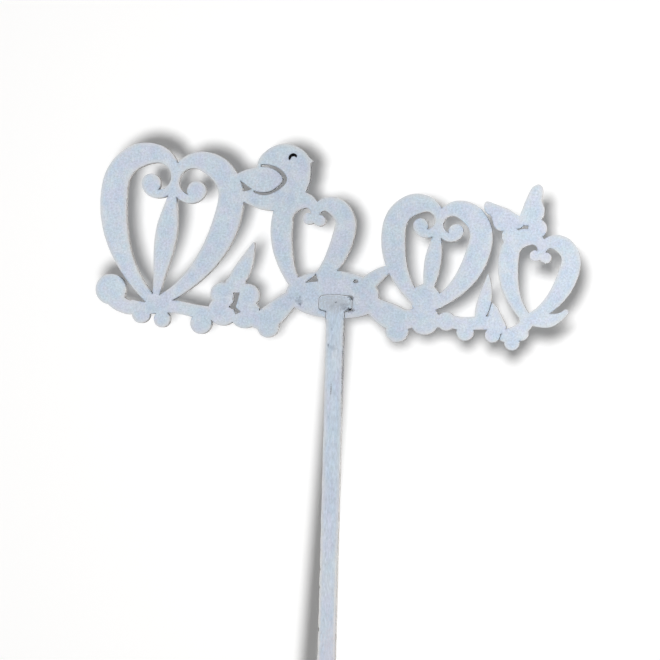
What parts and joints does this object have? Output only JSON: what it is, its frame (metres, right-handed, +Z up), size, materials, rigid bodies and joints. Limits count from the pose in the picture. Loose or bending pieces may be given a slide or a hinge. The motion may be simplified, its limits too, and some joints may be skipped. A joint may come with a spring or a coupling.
{
  "type": "cake topper",
  "caption": "Flat fretwork ornament with hearts, a bird, butterflies and a garland, locked by a T-shaped joint onto a flat leg that stands in a cake.",
  "frame": {"origin": "tip of the leg, in the middle of its width and thickness", "axes": "+Z up the leg towards the ornament, +X to the ornament's right as seen from its front, +Y from the front face to the back face"},
  "size_m": [0.1356, 0.003, 0.1682],
  "materials": {
    "painted_face": "matte pale blue paint over sanded birch veneer, faint grain and mottle",
    "painted_core": "laser-cut plywood edge, thinly painted, slightly toasted"
  },
  "bodies": {
    "leg": {"leg_front_ply": "painted_face", "leg_core_ply": "painted_core", "leg_back_ply": "painted_face"},
    "plate": {"plate_front_ply": "painted_face", "plate_core_ply": "painted_core", "plate_back_ply": "painted_face"}
  },
  "joints": [
    {"name": "lock_push_out", "type": "slide", "parent": "leg", "child": "plate", "axis": [0, 1, 0], "range_m": [-0.004, 0.004]}
  ]
}
